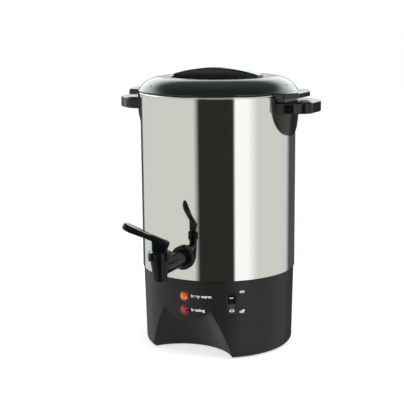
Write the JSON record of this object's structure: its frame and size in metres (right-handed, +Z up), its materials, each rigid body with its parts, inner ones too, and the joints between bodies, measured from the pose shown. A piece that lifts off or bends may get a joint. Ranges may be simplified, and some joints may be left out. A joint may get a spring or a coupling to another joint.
{
  "type": "coffee urn",
  "caption": "Electric coffee urn: steel tank on a plastic base with a cup bay, lever tap, side handles and a turning lid.",
  "frame": {"origin": "on the table under the middle of the tank", "axes": "+Z up along the tank's axis, tap towards -Y, handles at +X and -X"},
  "size_m": [0.276, 0.2936, 0.3667],
  "materials": {
    "steel": "polished",
    "insulator": "matte",
    "base_plastic": "satin",
    "rubber": "matte",
    "screw_steel": "bright zinc",
    "amber_lens": "gloss, glowing",
    "red_lens": "gloss",
    "switch_plastic": "gloss",
    "brass": "nickelled",
    "tap_plastic": "gloss",
    "silicone": "matte",
    "handle_plastic": "satin gloss",
    "aluminium": "satin",
    "lid_plastic": "gloss"
  },
  "bodies": {
    "housing": {"tank_shell": "steel", "tank_bottom": "steel", "heating_element": "steel", "keep_warm_heater": "insulator", "thermostat": "insulator", "thermal_fuse": "insulator", "base_shell": "base_plastic", "bottom_cover": "steel", "rubber_feet": "rubber", "cover_screws": "screw_steel", "centre_standoff": "screw_steel", "centre_screw": "screw_steel", "amber_lamp": "amber_lens", "red_lamp": "red_lens", "lamp_bodies": "insulator", "switch_frame": "switch_plastic", "power_inlet": "switch_plastic", "inlet_pins": "brass", "tap_body": "tap_plastic", "tap_gasket": "silicone", "tap_inner_gasket": "silicone", "tap_nut": "tap_plastic", "tap_bonnet": "tap_plastic", "handle_right": "handle_plastic", "handle_left": "handle_plastic", "handle_screws": "screw_steel"},
    "pump": {"pump_tube": "aluminium", "pump_collar": "aluminium", "pump_foot": "aluminium", "basket_floor": "aluminium", "basket_hub": "aluminium", "coffee_basket": "aluminium", "basket_lid": "aluminium"},
    "seal": {"lid_seal": "silicone"},
    "lid": {"lid_shell": "lid_plastic", "lid_grip": "lid_plastic", "grip_screws": "screw_steel"},
    "swivel": {"cam_washer": "tap_plastic"},
    "stem": {"valve_stem": "screw_steel", "seat_cup": "silicone", "lever_pin": "screw_steel"},
    "lever": {"tap_lever": "tap_plastic"},
    "rocker": {"switch_rocker": "switch_plastic"}
  },
  "joints": [
    {"name": "lid_lift", "type": "slide", "parent": "housing", "child": "seal", "axis": [0, 0, 1], "range_m": [0, 0.5]},
    {"name": "lid_turn", "type": "hinge", "parent": "seal", "child": "lid", "pos_m": [0, 0, 0.3335], "axis": [0, 0, 1], "range_deg": [-40, 0]},
    {"name": "pump_lift", "type": "slide", "parent": "housing", "child": "pump", "axis": [0, 0, 1], "range_m": [0, 0.25]},
    {"name": "lever_swivel", "type": "hinge", "parent": "housing", "child": "swivel", "pos_m": [0, -0.163, 0.1557], "axis": [0, 0, 1], "continuous": true},
    {"name": "stem_lift", "type": "slide", "parent": "swivel", "child": "stem", "axis": [0, 0, 1], "range_m": [0, 0.004]},
    {"name": "lever_tilt", "type": "hinge", "parent": "stem", "child": "lever", "pos_m": [0, -0.163, 0.15995], "axis": [0.4679, -0.8838, 0], "range_deg": [0, 25], "stiffness_Nm_per_rad": 0.5, "springref_deg": -5.73},
    {"name": "rocker_tilt", "type": "hinge", "parent": "housing", "child": "rocker", "pos_m": [0.05598, -0.07995, 0.07376], "axis": [0.8192, 0.5736, 0], "range_deg": [0, 20]}
  ],
  "couplings": [
    {"joint": "pump_lift", "follows": "lid_lift", "ratio": 0.5},
    {"joint": "stem_lift", "follows": "lever_tilt", "m_per_rad": 0.009}
  ]
}
